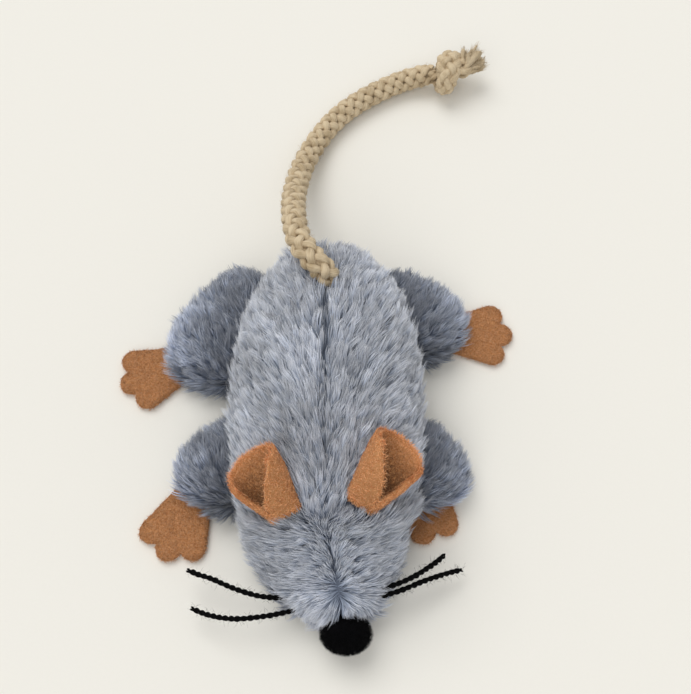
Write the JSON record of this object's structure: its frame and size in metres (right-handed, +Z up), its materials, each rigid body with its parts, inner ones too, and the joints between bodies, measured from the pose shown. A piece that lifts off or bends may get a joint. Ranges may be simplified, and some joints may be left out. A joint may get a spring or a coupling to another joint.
{
  "type": "electronic mouse cat toy",
  "caption": "Plush mouse cat toy with felt ears and paws, velvet nose, yarn whiskers, braided rope tail with a knot, and a sound box behind a belly flap that a touch sets off.",
  "frame": {"origin": "on the belly's flat, under the middle of the body between the front legs", "axes": "-Y towards the nose, +Y towards the tail, +X to the right of someone who faces the nose, +Z up; left and right in node names are that person's"},
  "size_m": [0.1161, 0.2061, 0.0499],
  "materials": {
    "plush": "short polyester pile, grey-blue",
    "felt": "pressed felt, tan",
    "velvet": "black velvet",
    "yarn": "black twisted yarn",
    "cotton_rope": "braided natural cotton",
    "fibre_fill": "white polyester fibre",
    "hook_tape": "woven hook and loop tape",
    "case_plastic": "moulded, fine matte",
    "steel": "zinc plated",
    "cell_steel": "nickel plated",
    "brass": "rolled sheet",
    "board": "green solder mask",
    "epoxy": "black potting drop",
    "capacitor_sleeve": "black sleeve",
    "ceramic": "fired, unglazed",
    "insulation_red": "extruded",
    "insulation_black": "extruded"
  },
  "bodies": {
    "body": {"back_panel_left": "plush", "back_panel_right": "plush", "face_panel_left": "plush", "face_panel_right": "plush", "belly_panel": "plush", "nose_cap": "velvet", "whisker_yarn_upper": "yarn", "whisker_yarn_lower": "yarn", "body_stuffing": "fibre_fill", "head_stuffing": "fibre_fill", "loop_strip": "hook_tape", "module_base": "case_plastic", "module_cover": "case_plastic", "battery_door": "case_plastic", "case_screw_front": "steel", "case_screw_rear": "steel", "door_screw": "steel", "button_cell_lower": "cell_steel", "button_cell_middle": "cell_steel", "button_cell_upper": "cell_steel", "contact_lower": "brass", "contact_upper": "brass", "piezo_plate": "brass", "switch_pin": "brass", "circuit_board": "board", "sound_chip": "epoxy", "board_capacitor": "capacitor_sleeve", "board_resistor": "ceramic", "piezo_ceramic": "ceramic", "battery_lead": "insulation_red", "piezo_lead_ceramic": "insulation_red", "piezo_lead_plate": "insulation_black"},
    "leg_left_rear": {"leg_left_rear": "plush", "paw_left_rear": "felt"},
    "leg_left_front": {"leg_left_front": "plush", "paw_left_front": "felt"},
    "leg_right_rear": {"leg_right_rear": "plush", "paw_right_rear": "felt"},
    "leg_right_front": {"leg_right_front": "plush", "paw_right_front": "felt"},
    "ear_left": {"ear_left": "felt"},
    "ear_right": {"ear_right": "felt"},
    "tail": {"tail_rope": "cotton_rope", "tail_knot": "cotton_rope"},
    "belly_flap": {"belly_flap": "plush", "hook_strip": "hook_tape"},
    "switch_spring": {"switch_spring": "steel"}
  },
  "joints": [
    {"name": "leg_left_rear_raise", "type": "hinge", "parent": "body", "child": "leg_left_rear", "pos_m": [-0.0204, 0.04199, 0.009], "axis": [0.418, 0.9084, 0], "range_deg": [-20, 20]},
    {"name": "leg_left_front_raise", "type": "hinge", "parent": "body", "child": "leg_left_front", "pos_m": [-0.02563, -0.00302, 0.009], "axis": [-0.0741, 0.9973, 0], "range_deg": [-20, 20]},
    {"name": "leg_right_rear_raise", "type": "hinge", "parent": "body", "child": "leg_right_rear", "pos_m": [0.01993, 0.04298, 0.009], "axis": [0.4413, -0.8973, 0], "range_deg": [-20, 20]},
    {"name": "leg_right_front_raise", "type": "hinge", "parent": "body", "child": "leg_right_front", "pos_m": [0.02559, -0.00348, 0.009], "axis": [-0.0771, -0.997, 0], "range_deg": [-20, 20]},
    {"name": "ear_left_fold", "type": "hinge", "parent": "body", "child": "ear_left", "pos_m": [-0.0102, -0.02971, 0.03243], "axis": [-0.8996, 0.1482, -0.4107], "range_deg": [-14, 14], "stiffness_Nm_per_rad": 0.01},
    {"name": "ear_right_fold", "type": "hinge", "parent": "body", "child": "ear_right", "pos_m": [0.0098, -0.0284, 0.03294], "axis": [-0.8993, -0.2628, 0.3496], "range_deg": [-14, 14], "stiffness_Nm_per_rad": 0.01},
    {"name": "tail_swing", "type": "hinge", "parent": "body", "child": "tail", "pos_m": [0.0012, 0.0361, 0.0382], "axis": [0, 0, 1], "range_deg": [-18, 18]},
    {"name": "flap_open", "type": "hinge", "parent": "body", "child": "belly_flap", "pos_m": [-0.0118, 0.022, 0.0003], "axis": [0, 1, 0], "range_deg": [0, 100]},
    {"name": "spring_sway", "type": "hinge", "parent": "body", "child": "switch_spring", "pos_m": [0.0024, 0.012, 0.0122], "axis": [1, 0, 0], "range_deg": [-8, 8], "stiffness_Nm_per_rad": 0.0002}
  ]
}
